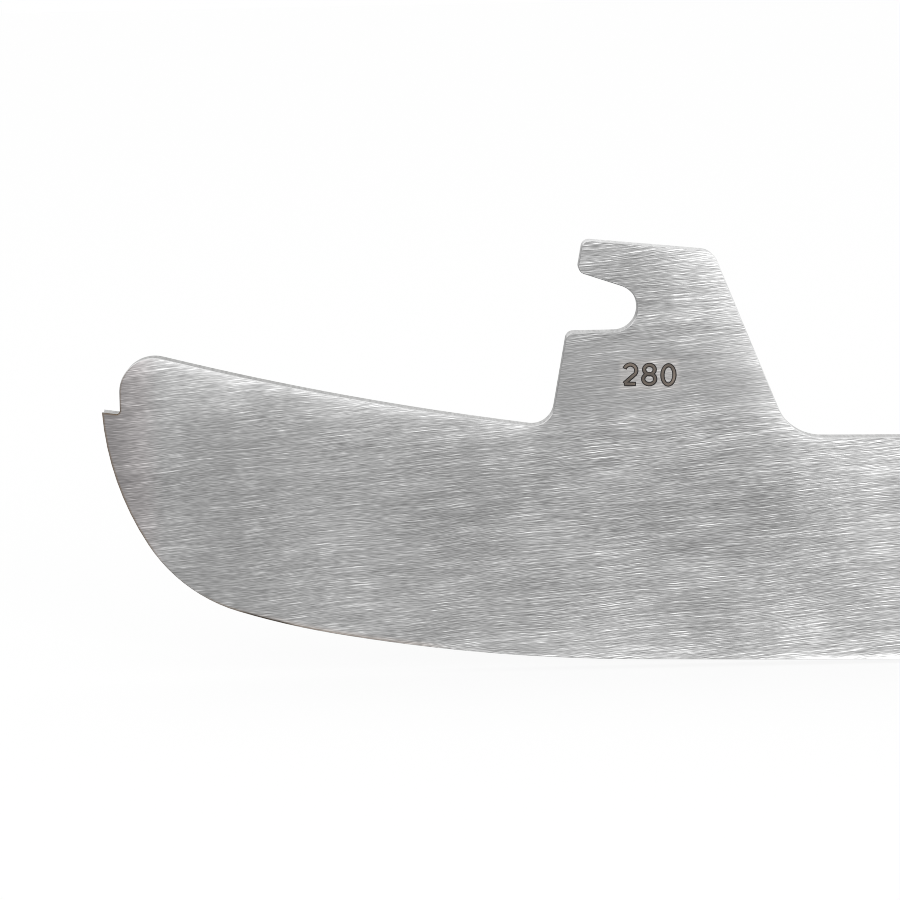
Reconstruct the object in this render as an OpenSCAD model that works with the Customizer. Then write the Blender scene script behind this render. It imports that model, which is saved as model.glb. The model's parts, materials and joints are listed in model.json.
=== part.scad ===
// Hockey skate runner: a flat steel blade with two hook tabs that hang it in a skate's holder.
// Millimetres and degrees. +X runs from toe to heel, +Y across the plate, +Z up from the ice.
// The origin is at mid-length, mid-thickness, on the lowest line of the ice edge.
// The face that carries the size mark looks along -Y.

/* [Blade] */
// Overall length from toe tip to heel tip
runner_length = 280; // [254:2:306]
// Thickness of the plate
blade_thickness = 3; // [2.8:0.1:3.2]
// Depth of the body between the tabs, from the ice edge up to the top edge
body_depth = 25; // [22:0.5:28]
// Radius of the main rocker along the ice edge
rocker_radius = 3048; // [2743:1:3353]
// Radius of the hollow ground across the ice edge
hollow_radius = 12.7; // [9.5:0.1:25.4]

/* [Hook tabs] */
// Distance of the front seat's centre from the toe tip
front_seat_inset = 57; // [54:0.1:60]
// Distance of the rear seat's centre from the heel tip
rear_seat_inset = 58; // [55:0.1:61]
// Height of the seats' centres above the body's top edge
seat_rise = 15.5; // [14:0.1:17]
// Radius of the round seat at the end of each slot
seat_radius = 2.6; // [2.4:0.05:2.8]
// Height of the tab's top edge above the seat's centre
tab_rise = 7.3; // [6.4:0.1:8]
// Distance of the tab's back edge from the seat's centre, at the seat's height
tab_back = 13.5; // [11:0.1:15]
// Distance of the tab's open edge from the seat's centre, at the seat's height
tab_front = 4.76; // [4.4:0.01:5.4]
// Lean of the open edge from the upright
front_lean = 10.7; // [6:0.1:14]
// Lean of the back edge from the upright
back_lean = 21.8; // [16:0.1:26]
// Slope of the tab's top edge
top_slope = 6; // [0:0.1:8]
// Slope of the hook's underside
hook_slope = 18.9; // [14:0.1:22]
// Rise from the body's top edge to the foot of the open edge
foot_rise = 2.27; // [1:0.01:4]
// Radius at the foot of the open edge
front_foot_radius = 2.5; // [1:0.1:3]
// Radius at the foot of the back edge
back_foot_radius = 5.5; // [3:0.1:7]
// Radius of the tab's upper back corner
tab_corner_radius = 2; // [0.8:0.1:2.5]
// Radius of the hook's corners and of the lip under the slot
hook_corner_radius = 0.9; // [0.4:0.05:1.1]

/* [Toe] */
// Radius of the first arc after the rocker
toe_lift_radius = 207; // [170:1:240]
// Slope where the first arc ends
toe_lift_angle = 10.9; // [9.5:0.1:12.5]
// Radius of the second arc
toe_bend_radius = 86; // [70:1:100]
// Slope where the second arc ends
toe_bend_angle = 18.1; // [16:0.1:21]
// Radius of the third arc
toe_turn_radius = 18.2; // [15:0.1:21]
// Slope where the third arc ends
toe_turn_angle = 58.4; // [52:0.1:64]
// Radius of the last arc, up to the toe tip
toe_tip_radius = 31.9; // [28:0.1:35]
// Slope of the edge at the toe tip
toe_tip_angle = 86.8; // [82:0.1:88]
// Width of the step above the toe tip
toe_step = 2; // [1.5:0.05:2.4]
// Radius of the toe's nose
toe_nose_radius = 3.8; // [3.4:0.1:4.8]
// Slope of the toe's top edge beside the tab
toe_inner_slope = 8.75; // [6:0.05:10]
// Slope of the toe's top edge at the nose
toe_outer_slope = 14.7; // [12:0.1:16]

/* [Heel] */
// Radius of the first arc after the rocker
heel_lift_radius = 150; // [120:1:180]
// Slope where the first arc ends
heel_lift_angle = 10; // [9:0.1:12]
// Radius of the second arc
heel_bend_radius = 52; // [42:1:62]
// Slope where the second arc ends
heel_bend_angle = 22; // [19:0.1:25]
// Radius of the third arc
heel_turn_radius = 18; // [15:0.5:21]
// Slope where the third arc ends
heel_turn_angle = 56; // [50:0.5:62]
// Radius of the last arc, up to the heel tip
heel_tip_radius = 25; // [22:0.5:28]
// Slope of the edge at the heel tip
heel_tip_angle = 84; // [80:0.5:87]
// Width of the step above the heel tip
heel_step = 1.95; // [1.5:0.05:2.4]
// Radius of the heel's upper corner
heel_nose_radius = 4.2; // [3.4:0.1:4.8]
// Slope of the heel's top edge beside the tab
heel_inner_slope = 3.5; // [2:0.1:5]
// Slope of the heel's top edge at its end
heel_outer_slope = 7.5; // [7:0.1:11]

/* [Toe and heel] */
// Radius of the long sweep in the top edges of toe and heel
end_sweep_radius = 350; // [250:1:380]
// Slope of the steps above the tips
step_slope = 8.5; // [0:0.5:12]
// Radius in the inner corner of the steps
step_corner_radius = 0.4; // [0.2:0.05:0.6]

/* [Size mark] */
// Number in the mark, the runner's nominal length in millimetres
mark_number = "280"; // ["254", "263", "272", "280", "288", "296", "306"]
// Height of the digits
mark_height = 2.65; // [2.2:0.05:3.2]
// Width of one digit
mark_width = 1.83; // [1.6:0.01:2.1]
// Distance from one digit to the next
mark_pitch = 2.12; // [2.1:0.01:2.4]
// Width of one stroke
mark_stroke = 0.5; // [0.4:0.02:0.56]
// Depth of the engraving
mark_depth = 0.15; // [0.1:0.01:0.25]
// Thickness of the dark layer on the engraving's floor
mark_layer = 0.05; // [0.03:0.01:0.08]
// Distance of the mark's middle behind the front seat's centre
mark_behind = 3.8; // [3:0.1:6]
// Distance of the mark's middle below the front seat's centre
mark_below = 7.45; // [6.5:0.05:9]
// Tilt of the line of digits
mark_tilt = -2.3; // [-5:0.1:5]

/* [Hidden] */

half = runner_length / 2;
front_seat_x = front_seat_inset - half;
rear_seat_x = half - rear_seat_inset;
seat_z = body_depth + seat_rise;
top_radius = rocker_radius - body_depth;
hollow_depth = hollow_radius - sqrt(pow(hollow_radius, 2) - pow(blade_thickness / 2, 2));

// Stock left under the ice edge before it is ground
stock = 0.8;
// Reach of the grinding cut below and above the ice edge, and its run past the tips in degrees
grind_below = 3;
grind_above = 1;
grind_past_tip = 5;
// The slot's straight edges stand this far inside the seat's circle, so that the circle cuts them cleanly
seat_lap = 0.01;
// Straight stretch of the body's top edge kept for the tabs' feet
foot_room = 12;
// Gap between the dark layer and the engraving's walls
layer_gap = 0.02;
// Run of a cut beyond the face that it opens
cut_past = 1;

// Largest turn and largest error of one straight step on a rounded corner
max_turn = 6;
max_error = 0.002;

function unit(v) = v / norm(v);
function cross2(a, b) = a.x * b.y - a.y * b.x;
function along(angle) = [cos(angle), sin(angle)];
function below(slope) = [sin(slope), -cos(slope)];

// Point where the line through p at angle a meets the line through q at angle b
function meet(p, a, q, b) = p + along(a) * cross2(q - p, along(b)) / cross2(along(a), along(b));

// Points of an arc about c, from angle a over a signed sweep
function arc(c, r, a, sweep) =
    let (n = max(2, ceil(abs(sweep) / min(max_turn, 2 * acos(1 - max_error / r)))))
    [for (i = [0:n]) c + r * along(a + sweep * i / n)];

// Corner p between its neighbours a and b, rounded with radius r
function rounded(a, p, b, r) =
    let (u = unit(a - p), v = unit(b - p))
    let (open = acos(u * v))
    let (c = p + unit(u + v) * r / sin(open / 2))
    let (first = p + u * r / tan(open / 2) - c)
    arc(c, r, atan2(first.y, first.x), sign(cross2(p - a, b - p)) * (180 - open));

// Closed outline from corners written as [x, z, radius]
function outline(corners) =
    let (n = len(corners))
    let (at = function (i) [corners[(i + n) % n].x, corners[(i + n) % n].y])
    [
        for (i = [0:n - 1])
            let (r = corners[i].z)
            each (r > 0 ? rounded(at(i - 1), at(i), at(i + 1), r) : [at(i)])
    ];

// Ice edge of one end, seen with that end on the right: the rocker and four arcs, each tangent to the last.
// The rocker's end slope is kept to a thousandth of a degree, and the first arc's radius takes up the rest.
function run_out(radii, slopes) =
    radii[1] * (sin(slopes[1]) - sin(slopes[0]))
    + radii[2] * (sin(slopes[2]) - sin(slopes[1]))
    + radii[3] * (sin(slopes[3]) - sin(slopes[2]));
function rocker_end(radii, slopes) =
    let (free = half - run_out(radii, slopes) - radii[0] * sin(slopes[0]))
    round(1000 * asin(free / (rocker_radius - radii[0]))) / 1000;
function edge_slopes(radii, slopes) = concat([0, rocker_end(radii, slopes)], slopes);
function edge_radii(radii, slopes) =
    let (end = rocker_end(radii, slopes))
    let (free = half - run_out(radii, slopes) - rocker_radius * sin(end))
    [rocker_radius, free / (sin(slopes[0]) - sin(end)), radii[1], radii[2], radii[3]];
function edge_centre(slopes, radii, i) =
    i == 0 ? [0, rocker_radius]
    : edge_centre(slopes, radii, i - 1) + (radii[i - 1] - radii[i]) * below(slopes[i]);
function edge_tip(slopes, radii) = edge_centre(slopes, radii, 4) + radii[4] * below(slopes[5]);

toe_arcs = [toe_lift_radius, toe_bend_radius, toe_turn_radius, toe_tip_radius];
toe_ends = [toe_lift_angle, toe_bend_angle, toe_turn_angle, toe_tip_angle];
toe_slopes = edge_slopes(toe_arcs, toe_ends);
toe_radii = edge_radii(toe_arcs, toe_ends);
heel_arcs = [heel_lift_radius, heel_bend_radius, heel_turn_radius, heel_tip_radius];
heel_ends = [heel_lift_angle, heel_bend_angle, heel_turn_angle, heel_tip_angle];
heel_slopes = edge_slopes(heel_arcs, heel_ends);
heel_radii = edge_radii(heel_arcs, heel_ends);

// The body's top edge runs parallel to the rocker: one long arc between two straight ends
top_tilt = asin((half - max(front_seat_inset, rear_seat_inset) - tab_back - foot_room) / top_radius);
top_middle = [0, body_depth - top_radius * (1 / cos(top_tilt) - 1)];

// Corners of one end from beside the middle out past the tip, seen with that end on the right
function end_corners(inset, step, nose_radius, inner_slope, outer_slope, tip_z) =
    let (seat = [half - inset, seat_z])
    let (bite = seat_radius - seat_lap)
    let (front = seat + [tab_front, 0], back = seat - [tab_back, 0], top = seat + [0, tab_rise])
    let (front_angle = 90 + front_lean, back_angle = 90 - back_lean)
    let (under = seat + bite * along(90 + hook_slope), lip = seat - [0, bite])
    let (foot = meet(front, front_angle, [0, body_depth + foot_rise], 0))
    let (bend = foot + (half - step - foot.x) / 2 * [1, tan(inner_slope)])
    let (fall = step * tan(step_slope))
    [
        concat(meet(top_middle, top_tilt, back, back_angle), back_foot_radius),
        concat(meet(back, back_angle, top, top_slope), tab_corner_radius),
        concat(meet(top, top_slope, front, front_angle), hook_corner_radius),
        concat(meet(front, front_angle, under, hook_slope), hook_corner_radius),
        concat(under, 0),
        concat(lip, 0),
        concat(meet(front, front_angle, lip, 0), hook_corner_radius),
        concat(foot, front_foot_radius),
        concat(bend, end_sweep_radius),
        concat(bend + (half - step - bend.x) * [1, tan(outer_slope)], nose_radius),
        [half - step, tip_z - fall, step_corner_radius],
        [half + step / 2, tip_z + fall / 2, 0]
    ];

// Rough lower line of one end before grinding, from the tip in towards the middle
function stock_line(slopes, radii) = [
    for (i = [4:-1:0])
        for (k = [4:-1:1])
            let (slope = slopes[i] + (slopes[i + 1] - slopes[i]) * k / 4)
            concat(edge_centre(slopes, radii, i) + (radii[i] + stock) * below(slope), 0)
];

function mirrored(corners) = [for (c = corners) [-c.x, c.y, c.z]];
function backwards(corners) = [for (i = [len(corners) - 1:-1:0]) corners[i]];

toe_corners = end_corners(
    front_seat_inset, toe_step, toe_nose_radius, toe_inner_slope, toe_outer_slope,
    edge_tip(toe_slopes, toe_radii).y
);
heel_corners = end_corners(
    rear_seat_inset, heel_step, heel_nose_radius, heel_inner_slope, heel_outer_slope,
    edge_tip(heel_slopes, heel_radii).y
);
blade_corners = concat(
    [concat(top_middle, top_radius)],
    mirrored(toe_corners),
    mirrored(stock_line(toe_slopes, toe_radii)),
    [[0, -stock, 0]],
    backwards(stock_line(heel_slopes, heel_radii)),
    backwards(heel_corners)
);

// Moves in steps of whole millimetres, thousandths and the rest, which keeps every digit of a position
module place(p) {
    translate([for (c = p) floor(c)])
    translate([for (c = p) floor(1000 * c) / 1000 - floor(c)])
    translate([for (c = p) c - floor(1000 * c) / 1000])
    children();
}

// Grinding cut under one arc of the ice edge, by a wheel crowned to the hollow's radius
module grind(centre, radius, start, sweep) {
    crown = radius - hollow_depth + hollow_radius;
    place([centre.x, 0, centre.y])
    rotate([90, 0, 0])
    rotate_extrude(angle = sweep, start = start, $fn = 256)
    intersection() {
        place([crown, 0])
        circle(hollow_radius, $fn = 96);
        translate([radius - grind_above, -blade_thickness])
        square([grind_above + grind_below, 2 * blade_thickness]);
    }
}

module grind_rocker() {
    start = 270 - toe_slopes[1];
    grind([0, rocker_radius], rocker_radius, start, toe_slopes[1] + heel_slopes[1]);
}

// The four arcs of one end: side is -1 at the toe and 1 at the heel
module grind_end(slopes, radii, side) {
    for (i = [1:4]) {
        c = edge_centre(slopes, radii, i);
        end = slopes[i + 1] + (i == 4 ? grind_past_tip : 0);
        start = side < 0 ? 270 - end : 270 + slopes[i];
        grind([side * c.x, c.y], radii[i], start, end - slopes[i]);
    }
}

module seat_cut(x) {
    translate([x, 0, seat_z])
    rotate([90, 0, 0])
    cylinder(h = blade_thickness + 2 * cut_past, r = seat_radius, center = true, $fn = 96);
}

// Points of an oval about c, from angle a to angle b
function oval(c, rx, ry, a, b) =
    let (n = ceil(abs(b - a) / 15))
    [for (i = [0:n]) c + [rx * cos(a + (b - a) * i / n), ry * sin(a + (b - a) * i / n)]];

// Open strokes of a digit, as points on their centre lines, for half width w and half height h
function digit_strokes(d, w, h) =
    d == 1 ? [[[-0.7 * w, 0.5 * h], [0.15 * w, h]], [[0.15 * w, h], [0.15 * w, -h]]]
    : d == 2 ? [concat(oval([0, h - w], w, w, 165, -35), [[-w, -h]]), [[-w, -h], [w, -h]]]
    : d == 3 ? [
        oval([0, 0.52 * h], 0.9 * w, 0.48 * h, 150, -90),
        oval([0, -0.46 * h], w, 0.54 * h, 90, -150)
    ]
    : d == 4 ? [
        [[0.4 * w, -h], [0.4 * w, h]],
        [[0.4 * w, h], [-w, -0.4 * h]],
        [[-w, -0.4 * h], [w, -0.4 * h]]
    ]
    : d == 5 ? [
        [[0.8 * w, h], [-0.75 * w, h]],
        [[-0.75 * w, h], [-0.85 * w, 0.05 * h]],
        oval([-0.05 * w, -0.4 * h], 1.05 * w, 0.6 * h, 130, -140)
    ]
    : d == 6 ? [oval([0.3 * w, -0.38 * h], 1.3 * w, 1.38 * h, 65, 180)]
    : d == 7 ? [[[-w, h], [w, h]], [[w, h], [-0.3 * w, -h]]]
    : d == 9 ? [oval([-0.3 * w, 0.38 * h], 1.3 * w, 1.38 * h, 0, -115)]
    : [];

// Closed rings of a digit, as [height of the centre, half width, half height]
function digit_rings(d, w, h) =
    d == 0 ? [[0, w, h]]
    : d == 6 ? [[-0.4 * h, w, 0.6 * h]]
    : d == 8 ? [[0.52 * h, 0.88 * w, 0.48 * h], [-0.46 * h, w, 0.54 * h]]
    : d == 9 ? [[0.4 * h, w, 0.6 * h]]
    : [];

// Sideways direction at point i of a stroke
function sideways(p, i) =
    let (d = unit(p[min(i + 1, len(p) - 1)] - p[max(i - 1, 0)]))
    [-d.y, d.x];

module stroke(p, s) {
    polygon(concat(
        [for (i = [0:len(p) - 1]) p[i] + sideways(p, i) * s / 2],
        [for (i = [len(p) - 1:-1:0]) p[i] - sideways(p, i) * s / 2]
    ));
}

module ring(z, rx, ry, s) {
    difference() {
        polygon(oval([0, z], rx + s / 2, ry + s / 2, 0, 345));
        polygon(oval([0, z], rx - s / 2, ry - s / 2, 0, 345));
    }
}

module digit(d, s) {
    w = (mark_width - mark_stroke) / 2;
    h = (mark_height - mark_stroke) / 2;
    for (p = digit_strokes(d, w, h))
        stroke(p, s);
    for (r = digit_rings(d, w, h))
        ring(r[0], r[1], r[2], s);
}

// The mark's digits with strokes of width s, t thick, standing on the engraving's floor
module mark_digits(s, t) {
    last = len(mark_number) - 1;
    translate([front_seat_x + mark_behind, mark_depth - blade_thickness / 2, seat_z - mark_below])
    rotate([90, 0, 0])
    rotate([0, 0, mark_tilt])
    linear_extrude(height = t)
    for (i = [0:last])
        translate([(i - last / 2) * mark_pitch, 0])
        digit(ord(mark_number[i]) - ord("0"), s);
}

module runner_blade() {
    color([0.72, 0.72, 0.73])
    difference() {
        rotate([90, 0, 0])
        linear_extrude(height = blade_thickness, center = true)
        polygon(outline(blade_corners));
        grind_rocker();
        grind_end(toe_slopes, toe_radii, -1);
        grind_end(heel_slopes, heel_radii, 1);
        seat_cut(front_seat_x);
        seat_cut(rear_seat_x);
        mark_digits(mark_stroke, mark_depth + cut_past);
    }
}

module size_mark() {
    color([0.16, 0.13, 0.11])
    mark_digits(mark_stroke - 2 * layer_gap, mark_layer);
}

runner_blade();
size_mark();
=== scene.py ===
"""Hockey skate runner: a brushed steel blade with its engraved size mark, on a plain white stage.

Everything is in metres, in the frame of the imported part: +X from toe to heel, +Y away from the marked face,
+Z up from the ice. Angles are in degrees unless a Blender property says otherwise.
"""

import cmath
import json
import math
from collections import namedtuple

import bmesh
import bpy
from bpy.props import FloatProperty, FloatVectorProperty, PointerProperty
from mathutils import Matrix, Vector


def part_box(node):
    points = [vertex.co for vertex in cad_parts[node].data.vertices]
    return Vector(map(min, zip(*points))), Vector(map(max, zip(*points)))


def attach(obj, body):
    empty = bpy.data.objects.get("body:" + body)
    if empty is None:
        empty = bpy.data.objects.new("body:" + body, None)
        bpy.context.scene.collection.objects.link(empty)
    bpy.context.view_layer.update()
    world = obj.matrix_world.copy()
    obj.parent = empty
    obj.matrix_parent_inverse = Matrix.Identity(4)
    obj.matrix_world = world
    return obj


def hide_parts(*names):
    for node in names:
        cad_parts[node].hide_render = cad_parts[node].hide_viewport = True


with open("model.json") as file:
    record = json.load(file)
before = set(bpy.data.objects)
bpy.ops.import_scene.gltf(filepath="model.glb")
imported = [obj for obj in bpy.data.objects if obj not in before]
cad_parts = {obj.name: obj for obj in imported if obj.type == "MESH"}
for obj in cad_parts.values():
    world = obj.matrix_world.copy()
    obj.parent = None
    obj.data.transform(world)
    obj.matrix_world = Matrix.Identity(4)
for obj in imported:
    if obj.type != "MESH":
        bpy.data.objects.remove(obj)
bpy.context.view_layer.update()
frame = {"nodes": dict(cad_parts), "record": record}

bl_info = {
    "name": "Skate Runner",
    "version": (1, 0, 0),
    "blender": (4, 5, 0),
    "location": "3D View > Sidebar > Runner",
    "description": "Builds a hockey skate runner with its brushed finish and its stage",
    "category": "Add Mesh",
}

MOUNTS = {mount["name"]: mount for mount in frame["record"]["mounts"]}
BLADE_LOW, BLADE_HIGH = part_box("runner_blade")
MARK_LOW, MARK_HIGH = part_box("size_mark")

# What the frame states: the plate's length and thickness, the seats of the two hooks, and the mark's place
HALF = (BLADE_HIGH.x - BLADE_LOW.x) / 2
THICKNESS = BLADE_HIGH.y - BLADE_LOW.y
FACE_Y = BLADE_LOW.y
FRONT_SEAT_X, _, SEAT_Z = MOUNTS["front_hook"]["pos_m"]
REAR_SEAT_X = MOUNTS["rear_hook"]["pos_m"][0]
SEAT_RADIUS = MOUNTS["front_hook"]["dims"]["r_mm"] / 1000

# Body and ice edge
BODY_DEPTH = 0.025
ROCKER_RADIUS = 3.048
HOLLOW_RADIUS = 0.0127

# Hook tabs, measured from the centre of the seat
TAB_RISE = 0.0073
TAB_BACK = 0.0135
TAB_FRONT = 0.00476
FRONT_LEAN = 10.7
BACK_LEAN = 21.8
TOP_SLOPE = 6
HOOK_SLOPE = 18.9
FOOT_RISE = 0.00227
FOOT_ROOM = 0.012
FRONT_FOOT_RADIUS = 0.0025
BACK_FOOT_RADIUS = 0.0055
TAB_CORNER_RADIUS = 0.002
HOOK_CORNER_RADIUS = 0.0009

# Toe and heel: the four arcs are written as radius and the slope where the arc ends
End = namedtuple("End", "side seat_x step nose_radius inner_slope outer_slope arcs")
TOE = End(
    side=-1,
    seat_x=-FRONT_SEAT_X,
    step=0.002,
    nose_radius=0.0038,
    inner_slope=8.75,
    outer_slope=14.7,
    arcs=((0.207, 10.9), (0.086, 18.1), (0.0182, 58.4), (0.0319, 86.8)),
)
HEEL = End(
    side=1,
    seat_x=REAR_SEAT_X,
    step=0.00195,
    nose_radius=0.0042,
    inner_slope=3.5,
    outer_slope=7.5,
    arcs=((0.150, 10), (0.052, 22), (0.018, 56), (0.025, 84)),
)
END_SWEEP_RADIUS = 0.350
STEP_SLOPE = 8.5
STEP_CORNER_RADIUS = 0.0004

# Steps along a rounded stretch: the largest turn and the longest chord
MAX_TURN = 4
MAX_CHORD = 0.002

# The hollow is drawn in this many rows across the ice edge
WALL_ROWS = 8

# Points closer than this are one point, and edges sharper than this angle stay sharp
WELD = 1e-6
SHARP_ANGLE = 30

# Digits kept of a CAD point's coordinates, so that equal points compare as equal
DIGITS = 7

# Zones of the plate's surface, stored on its faces as whole numbers and told apart with this tolerance
FACE, WALL, GROUND, BREAK, ENGRAVED = range(5)
ZONE_TOLERANCE = 0.1

# A wall face is ground where the mean of its corners' ice values is above this
GROUND_FROM = 0.75

# The mark's edge break is its layer's thickness divided by this
MARK_BREAK_PARTS = 5

# A fade is a smooth change: where it starts, where it is full, and its share there. A stretch is where it
# starts, is full, is last full and ends. Their places are along x if nothing else is said.
Fade = namedtuple("Fade", "start full share", defaults=(1,))

# Grains of a finish: their size along x, y and z, and the detail in them. The faces' strokes and clouds are
# so short along y that front and back differ.
Grain = namedtuple("Grain", "x y z detail", defaults=(0,))
FACE_GRAIN_Y = 0.0005
STROKE_BENDS = Grain(0.012, 0.01, 0.006)
CLOUDS = Grain(0.022, FACE_GRAIN_Y, 0.010, detail=1)
CUT_LINES = Grain(0.0003, 0.003, 0.0003, detail=1)
GROUND_LINES = Grain(0.02, 0.0001, 0.02, detail=1)
BREAK_WEAR = Grain(0.002, 0.002, 0.002, detail=2)
OXIDE_GRAINS = Grain(0.0002, 0.0002, 0.0002, detail=2)
OXIDE_PATCHES = Grain(0.0016, 0.002, 0.0016)

# Brush strokes: length and width as multiples of the fine stroke's, place in the noise, and share
Stroke = namedtuple("Stroke", "longer wider seed share", defaults=(1,))
STROKES = (Stroke(0.95, 0.75, 3.7, 1.8), Stroke(3, 0.8, 11.3, 1.3), Stroke(7, 0.9, 17.1, 0.65))
BROAD_STREAKS = Stroke(9, 18, 23.9, 0.6)

# Glints are painted highlights, the crests of two more kinds of stroke; the fade runs along the stroke's own
# height
GLINTS = (
    (Stroke(3.5, 0.75, 41.1), Fade(0.62, 0.74, 0.7)),
    (Stroke(9, 0.8, 57.7), Fade(0.64, 0.74, 0.7)),
)

# How far strokes wander up and down, how far a shaded flank lies from the lit one, and how dark it is
WANDER = 0.0006
FLANK_STEP = 0.00011
FLANK_SHADE = Fade(-0.128, -0.085, 0.3)

# Clouds over the strokes, calmer past the front tab
CLOUD_SHARE = 0.5
CLOUDS_CALM = Fade(-0.052, -0.020, 0.36)

# The strokes gain vigour from the toe to the front tab, and lose some on the middle of the tabs
# This gain is painted light: strokes and glints are made stronger towards the lamp's side.
VIGOUR = 0.62
VIGOUR_GAIN = Fade(-0.130, -0.070, 0.26)
TAB_CALM = 0.33
TAB_MIDDLE_X = Fade(-0.110, -0.095)
TAB_MIDDLE_Z = (0.027, 0.031, 0.034, 0.039)

# Darker parts of the faces: towards the tab and the tip, on the tabs, and in soft ovals; below 0 is lighter
DARKER = (Fade(-0.120, -0.080, 0.14), Fade(-0.1345, -0.139, 0.2), Fade(-0.1365, -0.1395, 0.15))
TAB_DARKER = 0.08
Oval = namedtuple("Oval", "x z half_width half_height share")
DARKER_OVALS = (
    Oval(-0.101, 0.0175, 0.011, 0.007, 0.12),
    Oval(-0.0735, 0.0165, 0.013, 0.006, 0.16),
    Oval(-0.081, 0.0432, 0.008, 0.0042, 0.18),
    Oval(-0.0825, 0.0265, 0.012, 0.008, -0.12),
    Oval(-0.1348, 0.0268, 0.006, 0.0035, -0.14),
)

# Polish and painted highlight of the faces along the ice and the body's top edge: how far it reaches in, and
# its share
ICE_REACH = 0.007
ICE_POLISH_AND_SHEEN = (Fade(-0.126, -0.115, 0.4), Fade(-0.094, -0.088, 0.22), Fade(-0.078, -0.070, -0.15))
BODY_TOP_REACH = 0.0042
BODY_TOP_POLISH_AND_SHEEN = Fade(0.066, 0.060, 0.36)

# Polish and painted highlight along an end's top edge, where x counts outwards from the middle: stronger at
# the nose and on the very rim, and setting in over a run from the tab's foot
END_FROM = Fade(0, 0.01)
END_TOP_REACH = 0.0026
END_TOP_POLISH_AND_SHEEN = 0.38
NOSE_TOP_POLISH_AND_SHEEN = Fade(0.122, 0.128, 0.2)
END_RIM_REACH = 0.0006
END_RIM_POLISH_AND_SHEEN = 0.3
FOOT_RUN = 0.004

# Polish and painted highlight along a tab's back and top, where the top's grows over a run back from the seat
TAB_BACK_REACH = 0.0034
TAB_BACK_POLISH_AND_SHEEN_Z = Fade(0.0245, 0.028, 0.5)
TAB_TOP_REACH = 0.0028
TAB_TOP_POLISH_AND_SHEEN = 0.11
TAB_TOP_GAIN = 0.3
TAB_TOP_RUN = 0.008

# A lighter oval behind each nose, placed from the nose's corner
NOSE_OVAL = Oval(-0.009, -0.0055, 0.0075, 0.0033, 0.19)

# Honing and painted highlight in the margin along the ice edge: a thin line below the front tab and a broad
# band past it. Fades of a margin run across it, from 0 on the inside to 1 at the outline.
THIN_MARGIN = Fade(0.5, 0.8, 0.22)
THIN_STRETCH = (-0.104, -0.099, -0.092, -0.086)
BROAD_MARGIN = Fade(0.0, 0.5)
BROAD_FROM = Fade(-0.068, -0.060)
BROAD_SHARE = 0.3
BROAD_GAIN = Fade(-0.025, -0.045, 0.4)

# Heat tint of the toe's margin: straw, burnt brown with a scorched and a rubbed stretch, and at the tip
STRAW_MARGIN = Fade(0.05, 0.7, 0.5)
STRAW_STRETCH = (-0.127, -0.121, -0.106, -0.101)
BURNT_MARGIN = Fade(0.6, 0.95)
BURNT_FROM = Fade(-0.100, -0.118)
BURNT_SHARE = 0.62
SCORCHED_STRETCH = (-0.1262, -0.1237, -0.1207, -0.1182)
SCORCHED_GAIN = 0.38
SCORCHED_DARKER = 0.75
RUBBED_STRETCH = (-0.136, -0.133, -0.130, -0.127)
RUBBED_LOSS = 0.5
TIP_MARGIN = Fade(0.7, 1.0)
TIP_BURNT = Fade(-0.1355, -0.138, 0.5)
TIP_WARM = Fade(-0.133, -0.136, 0.6)

# Halo of the mark: its reach, and how much lighter and how straw-coloured it is
HALO_REACH = 0.0006
HALO_LIGHT = 0.14
HALO_STRAW = 0.2

# Cut walls are worn bright, partly a painted highlight, along the body, at the tabs' top and at the tip
WEAR_AND_SHEEN_BODY = Fade(-0.128, -0.088, 0.4)
WEAR_AND_SHEEN_TAB_Z = Fade(0.0435, 0.0455, 0.4)
WEAR_AND_SHEEN_TIP = Fade(-0.133, -0.1375, 0.25)

# Edges are painted brightest where they look up and to the heel, towards the light, and in painted shade
# where they turn away: the inward move of such an edge, the fade of an edge's match with it, from 1 to -1,
# over which the edge turns away, and how much darker it then is
LIT_MOVE = (-0.5, -0.87, 0)
TURNED_AWAY = Fade(0.2, -0.3)
CUT_SHADE = 0.45
BREAK_SHADE = 0.6

# Heat tint of the edge breaks at the toe
BREAK_TINT = Fade(-0.120, -0.130)
BREAK_TINT_Z = Fade(0.034, 0.030)

# How much the lines and grains of each finish show, and its mean brightness where that is not 1
CUT_CONTRAST = 0.7
GROUND_CONTRAST = 0.5
GROUND_LEVEL = 0.8
BREAK_CONTRAST = 0.6
OXIDE_CONTRAST = 0.8
OXIDE_PATCH_CONTRAST = 1.2
OXIDE_LEVEL = 0.95

# The oxide's burnt rim: how ragged its grains make it, and its fade across the mark's margin
RAGGED_RIM = 0.3
OXIDE_RIM = Fade(0.05, 0.4)

# Surfaces: how metallic and rough, how much smoother on crests, and their relief's strength and depth
Surface = namedtuple("Surface", "metallic roughness smoother relief depth", defaults=(0, 0))
BRUSHED_SURFACE = Surface(1.0, 0.34, 0.08, 0.25, 0.00001)
CUT_SURFACE = Surface(1.0, 0.5, 0.2, 0.2, 0.00002)
GROUND_SURFACE = Surface(1.0, 0.3, 0.2, 0.15, 0.00001)
BREAK_SURFACE = Surface(1.0, 0.4, 0.3)
OXIDE_SURFACE = Surface(0.4, 0.55, -0.2, 0.3, 0.00002)

# Stage: half the floor's side, the share of pure white in what is seen of it, the key lamp and the camera
FLOOR_REACH = 20.0
FLOOR_WHITE = 0.85
WHITE = (1, 1, 1, 1)
KEY_PLACE = (0.52, -1.36, 0.26)
KEY_SIZE = 0.6
SENSOR_WIDTH = 36
CLIP_START = 0.01


def length_property(name, description, default, limits):
    """Property for a length in metres within its limits."""
    low, high = limits
    return FloatProperty(
        name=name, description=description, default=default, min=low, max=high, unit="LENGTH", precision=5
    )


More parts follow.
